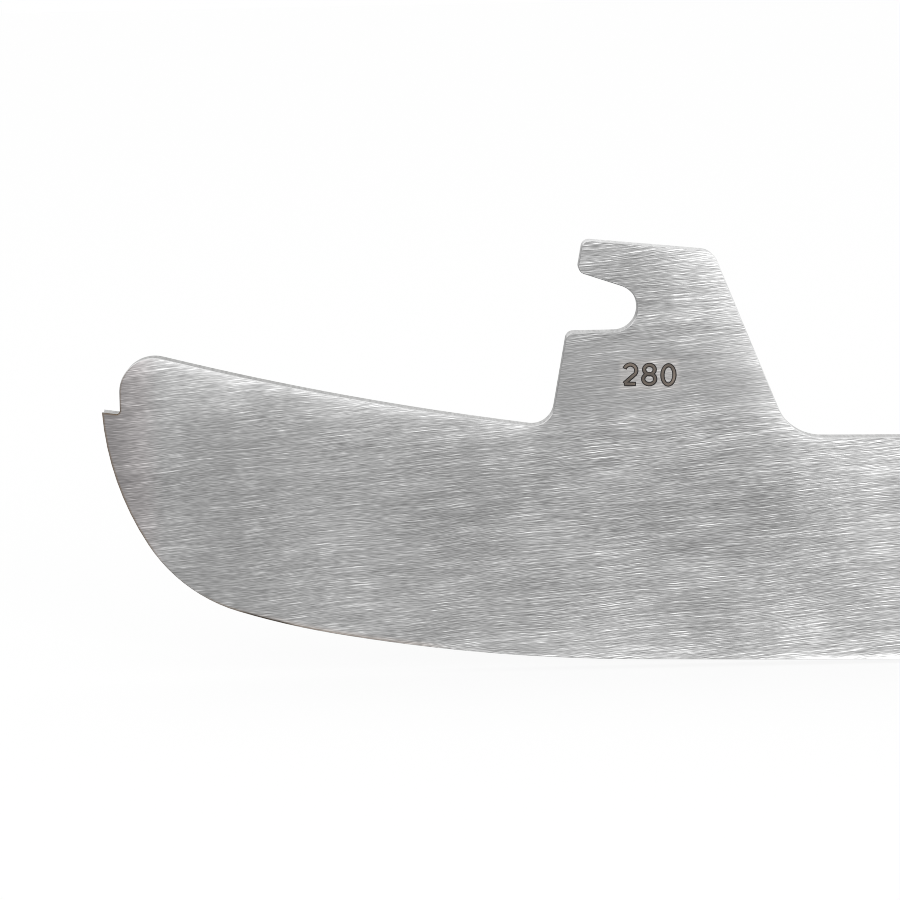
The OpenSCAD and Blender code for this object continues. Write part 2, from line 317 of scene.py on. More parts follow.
def angle_property(name, description, degrees):
    """Property for an angle whose default is given in degrees."""
    return FloatProperty(name=name, description=description, default=math.radians(degrees), subtype="ANGLE")


def colour_property(name, description, default):
    """Property for a colour."""
    return FloatVectorProperty(
        name=name, description=description, default=default, subtype="COLOR", min=0, max=1
    )


class RunnerShape(bpy.types.PropertyGroup):
    """Small sizes of the plate that only show close up."""

    edge_break: length_property(
        "Edge break", "Bevel along the plate's upper edges", default=0.00008, limits=(0.00002, 0.0003)
    )
    ice_break: length_property(
        "Ice edge break", "Bevel along the two ground ice edges", default=0.00005, limits=(0.00001, 0.0001)
    )
    margin: length_property(
        "Margin", "Band along the outline where the finish changes", default=0.0007, limits=(0.0003, 0.0008)
    )
    mark_depth: length_property(
        "Mark depth", "Depth of the engraved size mark", default=0.00015, limits=(0.00005, 0.0003)
    )
    mark_rim: length_property(
        "Mark rim", "Burnt rim along each stroke of the mark", default=0.00013, limits=(0.00005, 0.0002)
    )


class RunnerFinish(bpy.types.PropertyGroup):
    """Colours and brush marks."""

    steel: colour_property("Steel", "Brushed steel", (0.281, 0.281, 0.281))
    warm_steel: colour_property("Warm steel", "Brushed steel at the toe's end", (0.292, 0.272, 0.273))
    straw_steel: colour_property("Straw steel", "Steel with a light heat tint", (0.340, 0.305, 0.285))
    cut_steel: colour_property("Cut steel", "Cut walls of the plate", (0.38, 0.38, 0.375))
    bright_steel: colour_property("Bright steel", "Polished edge breaks and ground edge", (0.75, 0.75, 0.75))
    heat_tint: colour_property("Heat tint", "Brown tint along the toe's edge", (0.15, 0.105, 0.065))
    oxide_rim: colour_property("Oxide rim", "Burnt rim of the mark's strokes", (0.004, 0.0025, 0.0015))
    oxide_core: colour_property("Oxide core", "Middle of the mark's strokes", (0.110, 0.088, 0.071))
    stroke_length: length_property(
        "Stroke length", "Length of the fine brush strokes", default=0.0011, limits=(0.0002, 0.01)
    )
    stroke_width: length_property(
        "Stroke width", "Width of the fine brush strokes", default=0.0001, limits=(0.00005, 0.001)
    )
    stroke_tilt: angle_property("Stroke tilt", "Slope of the brush strokes, rising to the heel", 4.8)


class RunnerStage(bpy.types.PropertyGroup):
    """Floor, light and camera."""

    floor: colour_property("Floor", "Colour of the floor", (0.95, 0.95, 0.95))
    key_power: FloatProperty(
        name="Key power",
        description="Power of the large soft lamp to the right",
        default=12,
        min=0,
        unit="POWER",
    )
    elevation: angle_property("Elevation", "Angle of the camera above the horizon", 7)
    roll: angle_property("Roll", "Turn of the camera about its own axis", 1.237)
    lens: FloatProperty(
        name="Lens",
        description="Focal length on a 36 mm sensor",
        default=150,
        min=20,
        max=300,
        subtype="DISTANCE_CAMERA",
        unit="CAMERA",
    )
    view_width: length_property(
        "View width", "Width of the picture at the marked face", default=0.100, limits=(0.02, 1)
    )
    aim: FloatVectorProperty(
        name="Aim",
        description="Point of the marked face in the middle of the picture",
        default=(-0.10147, FACE_Y, 0.02511),
        subtype="XYZ",
        unit="LENGTH",
        precision=5,
    )


class Value:
    """A socket of a node tree. Arithmetic on it adds Math nodes."""

    def __init__(self, tree, socket):
        self.tree = tree
        self.socket = socket

    def __add__(self, other):
        return self.tree.math("ADD", self, other)

    def __sub__(self, other):
        return self.tree.math("SUBTRACT", self, other)

    def __rsub__(self, other):
        return self.tree.math("SUBTRACT", other, self)

    def __mul__(self, other):
        return self.tree.math("MULTIPLY", self, other)

    def __truediv__(self, other):
        return self.tree.math("DIVIDE", self, other)

    def __abs__(self):
        return self.tree.math("ABSOLUTE", self)

    __radd__ = __add__

    def ramp(self, low, high):
        """0 up to low, 1 from high on, and a smooth step between them; falls where low is above high."""
        node = self.tree.node(
            "ShaderNodeMapRange",
            {"interpolation_type": "SMOOTHSTEP"},
            {"Value": self, "From Min": low, "From Max": high},
        )
        return self.tree.out(node)

    def fade(self, change):
        """0 before the change starts, and its share from where it is full."""
        return self.ramp(change.start, change.full) * change.share

    def within(self, stretch):
        """1 inside the stretch and 0 outside, with a smooth step at either end."""
        start, full, last_full, end = stretch
        return self.ramp(start, full) * self.ramp(end, last_full)

    def fading(self, reach):
        """1 up to 0, and from there an exponential decay with that reach."""
        return self.tree.math("EXPONENT", self.tree.math("MINIMUM", self / -reach, 0.0))

    def swing(self, share=1):
        """A noise from 0 to 1 as a swing about 0 with that share."""
        return (self - 0.5) * share


class Tree:
    """A node tree under construction."""

    def __init__(self, tree):
        self.tree = tree

    def node(self, kind, settings=None, inputs=None):
        """Adds a node of that kind, with its settings first and then values or links for its sockets."""
        made = self.tree.nodes.new(kind)
        for name, value in (settings or {}).items():
            setattr(made, name, value)
        for key, value in (inputs or {}).items():
            self.feed(self.socket(made, key), value)
        return made

    def socket(self, node, key):
        """A node's input by its number, identifier or name."""
        if isinstance(key, int):
            return node.inputs[key]
        return next(s for s in node.inputs if key in (s.identifier, s.name))

    def feed(self, socket, value):
        """Links a value, or several, to a socket, or sets its number."""
        if isinstance(value, list):
            for each in value:
                self.feed(socket, each)
        elif isinstance(value, Value):
            self.tree.links.new(value.socket, socket)
        else:
            socket.default_value = value

    def out(self, node, key=0):
        """A node's output as a value."""
        return Value(self, node.outputs[key])

    def math(self, operation, *terms):
        return self.out(self.node("ShaderNodeMath", {"operation": operation}, dict(enumerate(terms))))

    def scaled(self, vector, factor):
        node = self.node("ShaderNodeVectorMath", {"operation": "SCALE"}, {"Vector": vector, "Scale": factor})
        return self.out(node)

    def summed(self, first, second):
        return self.out(self.node("ShaderNodeVectorMath", {"operation": "ADD"}, {0: first, 1: second}))

    def combine(self, x, y, z):
        return self.out(self.node("ShaderNodeCombineXYZ", None, {"X": x, "Y": y, "Z": z}))

    def mix(self, factor, first, second):
        """Colour between two colours."""
        node = self.node(
            "ShaderNodeMix",
            {"data_type": "RGBA"},
            {"Factor_Float": factor, "A_Color": first, "B_Color": second},
        )
        return Value(self, next(s for s in node.outputs if s.identifier == "Result_Color"))


# Plane geometry, with a point of the plate's plane as the complex number x + z i


def along(angle):
    """Unit step at an angle."""
    return cmath.rect(1, math.radians(angle))


def cross(a, b):
    return (a.conjugate() * b).imag


def unit(a):
    return a / abs(a)


def meet(p, p_angle, q, q_angle):
    """Point where the line through p at one angle meets the line through q at another."""
    d, e = along(p_angle), along(q_angle)
    return p + d * cross(q - p, e) / cross(d, e)


def arc(centre, radius, start, sweep):
    """Points of an arc from one angle over a signed sweep."""
    steps = math.ceil(abs(sweep) / min(MAX_TURN, math.degrees(MAX_CHORD / radius)))
    steps = max(2, steps)
    return [centre + radius * along(start + sweep * i / steps) for i in range(steps + 1)]


def rounded(before, corner, after, radius):
    """Points of a corner rounded with that radius."""
    u, v = unit(before - corner), unit(after - corner)
    opening = math.acos((u.conjugate() * v).real)
    centre = corner + unit(u + v) * radius / math.sin(opening / 2)
    first = corner + u * radius / math.tan(opening / 2) - centre
    sweep = math.copysign(180 - math.degrees(opening), cross(corner - before, after - corner))
    return arc(centre, radius, math.degrees(cmath.phase(first)), sweep)


def sine(angle):
    return math.sin(math.radians(angle))


def slope(angle):
    return math.tan(math.radians(angle))


def ice_edge(end):
    """Points of one end's ice edge from the middle out to the tip.

    It is the rocker and four arcs, each tangent to the last. The rocker's end slope is kept to a thousandth
    of a degree, and the first arc's radius takes up the rest.
    """
    radii = [radius for radius, _ in end.arcs]
    slopes = [angle for _, angle in end.arcs]
    run_out = sum(radii[i] * (sine(slopes[i]) - sine(slopes[i - 1])) for i in range(1, len(radii)))
    free = HALF - run_out - radii[0] * sine(slopes[0])
    rocker_end = round(math.degrees(math.asin(free / (ROCKER_RADIUS - radii[0]))), 3)
    rise = HALF - run_out - ROCKER_RADIUS * sine(rocker_end)
    radii[0] = rise / (sine(slopes[0]) - sine(rocker_end))
    radii.insert(0, ROCKER_RADIUS)
    slopes = [0, rocker_end] + slopes
    centre = 1j * ROCKER_RADIUS
    points = []
    for i, radius in enumerate(radii):
        if i:
            centre += (radii[i - 1] - radius) * along(slopes[i] - 90)
        stretch = arc(centre, radius, slopes[i] - 90, slopes[i + 1] - slopes[i])
        points += stretch[1:] if i else stretch
    return points


def top_line(end):
    """Corners of one end's top edge before rounding: the foot of its tab, the bend and the nose."""
    front = complex(end.seat_x + TAB_FRONT, SEAT_Z)
    foot = meet(front, 90 + FRONT_LEAN, 1j * (BODY_DEPTH + FOOT_RISE), 0)
    reach = (HALF - end.step - foot.real) / 2
    bend = foot + reach * complex(1, slope(end.inner_slope))
    return foot, bend, bend + reach * complex(1, slope(end.outer_slope))


def top_edge(end, tip):
    """Points of one end's upper edge from the back of its tab out to the step above its tip."""
    seat = complex(end.seat_x, SEAT_Z)
    front, back, top = seat + TAB_FRONT, seat - TAB_BACK, seat + 1j * TAB_RISE
    front_angle, back_angle = 90 + FRONT_LEAN, 90 - BACK_LEAN
    under = seat + SEAT_RADIUS * along(90 + HOOK_SLOPE)
    lip = seat - 1j * SEAT_RADIUS
    foot, bend, nose = top_line(end)
    step = complex(HALF - end.step, tip.imag - end.step * slope(STEP_SLOPE))
    # Each corner has the radius that rounds it. None is only passed by, and 0 stands for the seat's arc.
    corners = [
        (TOP_MIDDLE, None),
        (meet(TOP_MIDDLE, TOP_TILT, back, back_angle), BACK_FOOT_RADIUS),
        (meet(back, back_angle, top, TOP_SLOPE), TAB_CORNER_RADIUS),
        (meet(top, TOP_SLOPE, front, front_angle), HOOK_CORNER_RADIUS),
        (meet(front, front_angle, under, HOOK_SLOPE), HOOK_CORNER_RADIUS),
        (under, 0),
        (lip, None),
        (meet(front, front_angle, lip, 0), HOOK_CORNER_RADIUS),
        (foot, FRONT_FOOT_RADIUS),
        (bend, END_SWEEP_RADIUS),
        (nose, end.nose_radius),
        (step, STEP_CORNER_RADIUS),
        (tip, None),
    ]
    points = []
    for (before, _), (corner, radius), (after, _) in zip(corners, corners[1:], corners[2:]):
        if radius:
            points += rounded(before, corner, after, radius)
        elif radius == 0:
            points += arc(seat, SEAT_RADIUS, 90 + HOOK_SLOPE, 180 - HOOK_SLOPE)
    return points


# The body's top edge runs parallel to the rocker: one long arc between two straight ends
TOP_RADIUS = ROCKER_RADIUS - BODY_DEPTH
TOP_TILT = math.degrees(math.asin((min(TOE.seat_x, HEEL.seat_x) - TAB_BACK - FOOT_ROOM) / TOP_RADIUS))
TOP_MIDDLE = 1j * (ROCKER_RADIUS - TOP_RADIUS / math.cos(math.radians(TOP_TILT)))


def mirrored(points):
    """The points with toe and heel swapped."""
    return [-p.conjugate() for p in points]


def blade_outline():
    """The blade's outline with the steel on its left: pairs of a point and whether it is on the ice."""
    toe_ice, heel_ice = ice_edge(TOE), ice_edge(HEEL)
    toe_top, heel_top = top_edge(TOE, toe_ice[-1]), top_edge(HEEL, heel_ice[-1])
    middle = arc(1j * ROCKER_RADIUS, TOP_RADIUS, TOP_TILT - 90, -2 * TOP_TILT)
    upper = middle + mirrored(toe_top)
    lower = mirrored(toe_ice[:0:-1]) + heel_ice
    return [(p, 0) for p in upper] + [(p, 1) for p in lower] + [(p, 0) for p in heel_top[::-1]]


def face_loops(node, y):
    """Closed loops that bound a CAD node's flat faces at that y, with the solid on the left of each loop."""
    mesh = frame["nodes"][node].data
    places = [tuple(round(c, DIGITS) for c in v.co) for v in mesh.vertices]
    edges = set()
    for face in mesh.polygons:
        corners = [places[i] for i in face.vertices]
        if all(abs(c[1] - y) < WELD for c in corners):
            edges |= set(zip(corners, corners[1:] + corners[:1]))
    follows = {a: b for a, b in edges if (b, a) not in edges}
    loops = []
    while follows:
        start, point = follows.popitem()
        loop = [start]
        while point != start:
            loop.append(point)
            point = follows.pop(point)
        loops.append([complex(x, z) for x, _, z in loop])
    return loops


def inward(loop):
    """For each point of a loop, the move that sets the loop in by one unit on its left."""
    moves = []
    for before, point, after in zip(loop[-1:] + loop[:-1], loop, loop[1:] + loop[:1]):
        a, b = 1j * unit(point - before), 1j * unit(after - point)
        moves.append((a + b) / (1 + (a.conjugate() * b).real))
    return moves


def wire_object(name, loops):
    """Object of edges alone, from loops of (point, ice) pairs and whether each loop is engraved.

    The loops lie in the XY plane, where the plate's tree fills them.
    """
    places, edges, moves, ice, engraved = [], [], [], [], []
    for loop, is_engraved in loops:
        first, count = len(places), len(loop)
        points = [p for p, _ in loop]
        places += [(p.real, p.imag, 0) for p in points]
        edges += [(first + i, first + (i + 1) % count) for i in range(count)]
        moves += [(m.real, m.imag, 0) for m in inward(points)]
        ice += [float(on_ice) for _, on_ice in loop]
        engraved += [float(is_engraved)] * count
    mesh = bpy.data.meshes.new(name)
    mesh.from_pydata(places, edges, [])
    move = mesh.attributes.new("inward", "FLOAT_VECTOR", "POINT")
    move.data.foreach_set("vector", [c for m in moves for c in m])
    mesh.attributes.new("ice", "FLOAT", "POINT").data.foreach_set("value", ice)
    mesh.attributes.new("engraved", "FLOAT", "POINT").data.foreach_set("value", engraved)
    made = bpy.data.objects.new(name, mesh)
    bpy.context.scene.collection.objects.link(made)
    return made


PLATE_SIZES = ("Thickness", "Middle Y", "Edge Break", "Ice Break", "Margin", "Hollow Depth", "Mark Depth")
PLATE_FINISHES = ("Face", "Wall", "Ground", "Break", "Engraved")


def plate_tree():
    """Geometry node tree that makes a plate from its outline.

    Each ring of the rim is an extrusion of the last ring's edges: out to the edge break, round it, across
    the wall with the hollow, and in again on the other side. The two faces are filled, and engraved loops
    are sunk.
    """
    group = bpy.data.node_groups.new("Plate from outline", "GeometryNodeTree")
    group.is_modifier = True
    group.interface.new_socket("Geometry", in_out="INPUT", socket_type="NodeSocketGeometry")
    for name in PLATE_SIZES:
        group.interface.new_socket(name, in_out="INPUT", socket_type="NodeSocketFloat").subtype = "DISTANCE"
    for name in PLATE_FINISHES:
        group.interface.new_socket(name, in_out="INPUT", socket_type="NodeSocketMaterial")
    group.interface.new_socket("Geometry", in_out="OUTPUT", socket_type="NodeSocketGeometry")
    tree = Tree(group)
    given = group.nodes.new("NodeGroupInput")
    size = {name: tree.out(given, name) for name in PLATE_SIZES}

    def attribute(name, data_type="FLOAT"):
        node = tree.node("GeometryNodeInputNamedAttribute", {"data_type": data_type}, {"Name": name})
        return tree.out(node, "Attribute")

    def stored(geometry, name, value, selection=True, data_type="FLOAT", domain="POINT"):
        settings = {"data_type": data_type, "domain": domain}
        inputs = {"Geometry": geometry, "Selection": selection, "Name": name, "Value": value}
        return tree.out(tree.node("GeometryNodeStoreNamedAttribute", settings, inputs))

    def zoned(geometry, zone, selection):
        return stored(geometry, "zone", zone, selection, "INT", "FACE")

    def moved(geometry, height, selection=True):
        inputs = {"Geometry": geometry, "Selection": selection, "Offset": tree.combine(0, 0, height)}
        return tree.out(tree.node("GeometryNodeSetPosition", None, inputs))

    def ringed(geometry, inset, height, selection=True):
        """Puts the selected points on the ring that is set in from the outline, at that height."""
        move = tree.summed(tree.scaled(into, inset), tree.combine(0, 0, height))
        inputs = {"Geometry": geometry, "Selection": selection, "Position": tree.summed(drawn, move)}
        return tree.out(tree.node("GeometryNodeSetPosition", None, inputs))

    def extruded(geometry, selection):
        inputs = {"Mesh": geometry, "Selection": selection, "Offset Scale": 0.0}
        node = tree.node("GeometryNodeExtrudeMesh", {"mode": "EDGES"}, inputs)
        return tree.out(node, "Mesh"), tree.out(node, "Top"), tree.out(node, "Side")

    def filled(geometry, height):
        curve = tree.out(tree.node("GeometryNodeMeshToCurve", None, {"Mesh": geometry}))
        fill = tree.out(tree.node("GeometryNodeFillCurve", {"mode": "TRIANGLES"}, {"Curve": curve}))
        return moved(fill, height)

    def joined(*geometries):
        return tree.out(tree.node("GeometryNodeJoinGeometry", None, {"Geometry": list(geometries)}))

    drawn = attribute("outline", "FLOAT_VECTOR")
    into = attribute("inward", "FLOAT_VECTOR")
    ice = attribute("ice")
    half = size["Thickness"] * 0.5
    bevel = size["Edge Break"] * (1 - ice) + size["Ice Break"] * ice

    position = tree.out(tree.node("GeometryNodeInputPosition"))
    loops = stored(tree.out(given, "Geometry"), "outline", position, data_type="FLOAT_VECTOR")
    inputs = {"Geometry": loops, "Selection": attribute("engraved")}
    parted = tree.node("GeometryNodeSeparateGeometry", None, inputs)
    engraving, outline = tree.out(parted, "Selection"), tree.out(parted, "Inverted")
    face_edge = ringed(outline, size["Margin"], 0.0)

    # The rim's rings from the front face to the back: inset, height, and the zone that each one closes.
    # The hollow is so flat that a parabola stands for its arc.
    hollow = size["Hollow Depth"] * ice
    reach = (half - bevel) / half
    rings = [(bevel, half, FACE)]
    for row in range(WALL_ROWS + 1):
        share = 1 - 2 * row / WALL_ROWS
        inset = hollow * (1 - reach * reach * share**2)
        rings.append((inset, (half - bevel) * share, WALL if row else BREAK))
    rings += [(bevel, half * -1, BREAK), (size["Margin"], half * -1, FACE)]
    rim = stored(moved(face_edge, half), "rim", 0.0)
    on_ice = tree.math("GREATER_THAN", ice, GROUND_FROM)
    top = True
    for inset, height, zone in rings:
        rim, top, side = extruded(rim, top)
        rim = ringed(rim, inset, height, top)
        rim = zoned(rim, zone, side)
        if zone == WALL:
            rim = zoned(rim, GROUND, on_ice * side)
        rim = stored(rim, "rim", 1.0, top)
    rim = stored(rim, "rim", 0.0, top)

    # Faces, and the sunk strokes of an engraving
    floor_height = half - size["Mark Depth"]
    walls, top, _ = extruded(moved(engraving, half), True)
    sunk = joined(moved(walls, size["Mark Depth"] * -1, top), filled(engraving, floor_height))
    sunk = zoned(sunk, ENGRAVED, True)
    front = filled(joined(face_edge, engraving), half)
    back = tree.out(tree.node("GeometryNodeFlipFaces", None, {"Mesh": filled(face_edge, half * -1)}))

    whole = joined(front, back, rim, sunk)
    whole = tree.out(tree.node("GeometryNodeMergeByDistance", None, {"Geometry": whole, "Distance": WELD}))
    upright = tree.node(
        "GeometryNodeTransform",
        None,
        {
            "Geometry": whole,
            "Translation": tree.combine(0, size["Middle Y"], 0),
            "Rotation": (math.radians(90), 0, 0),
        },
    )
    result = tree.out(tree.node("GeometryNodeRealizeInstances", None, {"Geometry": tree.out(upright)}))
    for zone, name in enumerate(PLATE_FINISHES):
        in_zone = tree.math("COMPARE", attribute("zone"), float(zone), ZONE_TOLERANCE)
        inputs = {"Geometry": result, "Selection": in_zone, "Material": tree.out(given, name)}
        result = tree.out(tree.node("GeometryNodeSetMaterial", None, inputs))
    tree.node("NodeGroupOutput", None, {"Geometry": result})
    return group


def make_plate(name, loops, sizes, finishes):
    """Plain mesh object of a plate, from its loops, its sizes and its finishes by zone."""
    wire = wire_object(name + "_outline", loops)
    group = bpy.data.node_groups.get("Plate from outline") or plate_tree()
    modifier = wire.modifiers.new("Plate", "NODES")
    modifier.node_group = group
    values = {**sizes, **finishes}
    for item in group.interface.items_tree:
        if item.in_out == "INPUT" and item.name in values:
            modifier[item.identifier] = values[item.name]
    depsgraph = bpy.context.evaluated_depsgraph_get()
    mesh = bpy.data.meshes.new_from_object(
        wire.evaluated_get(depsgraph), preserve_all_data_layers=True, depsgraph=depsgraph
    )
    wire.modifiers.remove(modifier)
    bpy.data.objects.remove(wire)
    mesh.name = name
    shape = bmesh.new()
    shape.from_mesh(mesh)
    bmesh.ops.recalc_face_normals(shape, faces=shape.faces)
    open_edges = [edge for edge in shape.edges if not edge.is_manifold]
    shape.to_mesh(mesh)
    shape.free()
    if open_edges or not mesh.polygons:
        raise RuntimeError(f"{name}: {len(open_edges)} open edges on {len(mesh.polygons)} faces")
    mesh.shade_smooth()
    mesh.set_sharp_from_angle(angle=math.radians(SHARP_ANGLE))
    made = bpy.data.objects.new(name, mesh)
    bpy.context.scene.collection.objects.link(made)
    return made


def new_material(name):
    """New material with an empty node tree."""
    material = bpy.data.materials.new(name)
    material.use_nodes = True
    material.node_tree.nodes.clear()
    return material, Tree(material.node_tree)


def finish_material(tree, surface, colour, grain):
    """Principled shader of a surface in that colour, with roughness and relief that follow its grain."""
    inputs = {
        "Base Color": colour,
        "Metallic": surface.metallic,
        "Roughness": surface.roughness - grain * surface.smoother,
    }
    if surface.relief:
        relief = {"Strength": surface.relief, "Distance": surface.depth, "Height": grain}
        inputs["Normal"] = tree.out(tree.node("ShaderNodeBump", None, relief))
    shader = tree.node("ShaderNodeBsdfPrincipled", None, inputs)
    tree.node("ShaderNodeOutputMaterial", None, {"Surface": tree.out(shader)})


def place(tree):
    """Object coordinates as three values."""
    position = tree.out(tree.node("ShaderNodeTexCoord"), "Object")
    parts = tree.node("ShaderNodeSeparateXYZ", None, {"Vector": position})
    return [tree.out(parts, i) for i in range(3)]


def noise(tree, x, y, z, detail=0):
    """Smooth noise from 0 to 1 whose grains are one unit across."""
    settings = {"noise_dimensions": "3D"}
    inputs = {"Vector": tree.combine(x, y, z), "Scale": 1.0, "Detail": detail}
    return tree.out(tree.node("ShaderNodeTexNoise", settings, inputs))


def grains(tree, at, grain):
    """Smooth noise from 0 to 1 with grains of that kind."""
    x, y, z = at
    return noise(tree, x / grain.x, y / grain.y, z / grain.z, grain.detail)


def attribute_value(tree, name):
    """A number that the plate's tree has stored."""
    return tree.out(tree.node("ShaderNodeAttribute", {"attribute_name": name}), "Fac")


def turned_away(tree):
    """Painted shade of the edges: 0 where the outline nearby looks up and to the heel, 1 where it looks away
    from there.
    """
    move = tree.out(tree.node("ShaderNodeAttribute", {"attribute_name": "inward"}), "Vector")
    match = tree.node("ShaderNodeVectorMath", {"operation": "DOT_PRODUCT"}, {0: move, 1: LIT_MOVE})
    return tree.out(match, "Value").fade(TURNED_AWAY)


def soft_oval(x, z, oval):
    """The oval's share in its middle, fading to 0 at its outline."""
    across = (x - oval.x) / oval.half_width
    upright = (z - oval.z) / oval.half_height
    return (across * across + upright * upright).ramp(1, 0) * oval.share


def tab_middle(x, z):
    """1 on the middle of the tabs, at the height of the mark."""
    return z.within(TAB_MIDDLE_Z) * x.fade(TAB_MIDDLE_X)


def brush_marks(tree, finish, x, y, z):
    """Light and dark of the brush strokes as a swing about 0, and the painted glints that come on top."""
    c, s = math.cos(finish.stroke_tilt), math.sin(finish.stroke_tilt)
    run = x * c + z * s
    rise = z * c - x * s + grains(tree, (run, y, z), STROKE_BENDS) * WANDER
    side = y / FACE_GRAIN_Y
    flank = x.fade(FLANK_SHADE)

    def streaks(kind, shift=0.0):
        length = finish.stroke_length * kind.longer
        width = finish.stroke_width * kind.wider
        return noise(tree, run / length + kind.seed, side, (rise + shift) / width + kind.seed)

    def strokes(kind):
        """Streaks with a lit and a shaded flank."""
        return streaks(kind) - streaks(kind, FLANK_STEP).swing(flank)

    vigour = x.fade(VIGOUR_GAIN) - tab_middle(x, z) * TAB_CALM + VIGOUR
    grain = sum(strokes(kind).swing(kind.share) for kind in STROKES)
    grain = grain + streaks(BROAD_STREAKS).swing(BROAD_STREAKS.share)
    clouds = grains(tree, (x, y, z), CLOUDS).swing(CLOUD_SHARE - x.fade(CLOUDS_CALM))
    glint = sum(strokes(kind).fade(crest) for kind, crest in GLINTS)
    return (grain + clouds) * vigour, glint * vigour


def end_polish_and_sheen(tree, end, out, z):
    """Polish and painted highlight along the upper edge of one end, the back and top of its tab, and behind
    its nose.
    """
    foot, bend, nose = top_line(end)
    inner, outer = slope(end.inner_slope), slope(end.outer_slope)
    past_bend = tree.math("MAXIMUM", out - bend.real, 0.0)
    below = (out - foot.real) * inner + past_bend * (outer - inner) + foot.imag - z
    polish_and_sheen = below.fading(END_TOP_REACH) * (out.fade(NOSE_TOP_POLISH_AND_SHEEN) + END_TOP_POLISH_AND_SHEEN)
    polish_and_sheen = polish_and_sheen + below.fading(END_RIM_REACH) * END_RIM_POLISH_AND_SHEEN
    polish_and_sheen = polish_and_sheen * out.ramp(foot.real, foot.real + FOOT_RUN)
    behind = (out - (end.seat_x - TAB_BACK) - (z - SEAT_Z) * slope(BACK_LEAN)) * sine(90 - BACK_LEAN)
    polish_and_sheen = polish_and_sheen + behind.fading(TAB_BACK_REACH) * z.fade(TAB_BACK_POLISH_AND_SHEEN_Z)
    below = (out - end.seat_x) * slope(TOP_SLOPE) + SEAT_Z + TAB_RISE - z
    tab_top = out.ramp(end.seat_x, end.seat_x - TAB_TOP_RUN) * TAB_TOP_GAIN + TAB_TOP_POLISH_AND_SHEEN
    polish_and_sheen = polish_and_sheen + below.fading(TAB_TOP_REACH) * tab_top
    polish_and_sheen = polish_and_sheen + soft_oval(out - nose.real, z - nose.imag, NOSE_OVAL)
    return polish_and_sheen * out.fade(END_FROM)


def edge_glow(tree, x, z):
    """Polish and painted highlight that fade away from the ice, the body's top edge, and the edges of both
    ends and their tabs.
    """
    glow = z.fading(ICE_REACH) * sum(x.fade(change) for change in ICE_POLISH_AND_SHEEN)
    glow = glow + (BODY_DEPTH - z).fading(BODY_TOP_REACH) * abs(x).fade(BODY_TOP_POLISH_AND_SHEEN)
    return glow + sum(end_polish_and_sheen(tree, end, x * end.side, z) for end in (TOE, HEEL))


def honed_and_highlit_margin(x, margin, ice):
    """Bright honing along the ice edge, with a painted highlight."""
    thin = margin.fade(THIN_MARGIN) * x.within(THIN_STRETCH)
    broad = margin.fade(BROAD_MARGIN) * x.fade(BROAD_FROM) * (x.fade(BROAD_GAIN) + BROAD_SHARE)
    return (thin + broad) * ice


def darker_parts(x, z):
    """Darker and lighter parts of the faces away from the edges."""
    shade = sum(x.fade(change) for change in DARKER) + tab_middle(x, z) * TAB_DARKER
    return shade + sum(soft_oval(x, z, oval) for oval in DARKER_OVALS)


def mark_halo(x, y, z):
    """1 around the size mark on the marked face, fading to 0 outside its box."""
    middle, half = (MARK_LOW + MARK_HIGH) / 2, (MARK_HIGH - MARK_LOW) / 2
    across = abs(x - middle.x).ramp(half.x + HALO_REACH, half.x)
    upright = abs(z - middle.z).ramp(half.z + HALO_REACH, half.z)
    return across * upright * y.ramp(0, FACE_Y)


def heat_marks(x, margin, ice):
    """How far the toe's margin is straw-coloured, burnt brown and scorched."""
    straw = margin.fade(STRAW_MARGIN) * ice * x.within(STRAW_STRETCH)
    scorched = x.within(SCORCHED_STRETCH)
    share = scorched * SCORCHED_GAIN - x.within(RUBBED_STRETCH) * RUBBED_LOSS + BURNT_SHARE
    burnt = margin.fade(BURNT_MARGIN) * ice * x.fade(BURNT_FROM) * share
    burnt = burnt + margin.fade(TIP_MARGIN) * (1 - ice) * x.fade(TIP_BURNT)
    return straw, burnt, scorched


def brushed_steel(finish):
    """Faces of the plate: wavy strokes with painted lit and shaded flanks, painted glints, edges polished and
    painted with highlights, and heat tint.
    """
    material, tree = new_material("brushed_steel")
    x, y, z = place(tree)
    margin, ice = attribute_value(tree, "rim"), attribute_value(tree, "ice")
    grain, glint = brush_marks(tree, finish, x, y, z)
    halo = mark_halo(x, y, z)
    straw, burnt, scorched = heat_marks(x, margin, ice)
    light = grain + glint + edge_glow(tree, x, z) + honed_and_highlit_margin(x, margin, ice)
    light = light + halo * HALO_LIGHT - darker_parts(x, z)
    steel = tree.mix(x.fade(TIP_WARM), (*finish.steel, 1), (*finish.warm_steel, 1))
    steel = tree.mix(halo * HALO_STRAW + straw, steel, (*finish.straw_steel, 1))
    steel = tree.scaled(steel, tree.math("EXPONENT", light))
    tint = tree.scaled(tuple(finish.heat_tint), 1 - scorched * SCORCHED_DARKER)
    finish_material(tree, BRUSHED_SURFACE, tree.mix(burnt, steel, tint), grain)
    return material


def cut_edge(finish):
    """Cut walls of the plate: dull steel with fine lines across the thickness, worn bright with a painted
    highlight in places, and in painted shade where they turn away from the light.
    """
    material, tree = new_material("cut_edge")
    x, y, z = place(tree)
    lines = grains(tree, (x, y, z), CUT_LINES).swing()
    # Wear and a painted highlight on the walls
    wear_and_sheen = x.fade(WEAR_AND_SHEEN_BODY) + z.fade(WEAR_AND_SHEEN_TAB_Z) + x.fade(WEAR_AND_SHEEN_TIP)
    colour = tree.mix(wear_and_sheen, (*finish.cut_steel, 1), (*finish.bright_steel, 1))
    # Painted shade on walls that turn away from the light
    colour = tree.scaled(colour, (lines * CUT_CONTRAST + 1) * (1 - turned_away(tree) * CUT_SHADE))
    finish_material(tree, CUT_SURFACE, colour, lines)
    return material


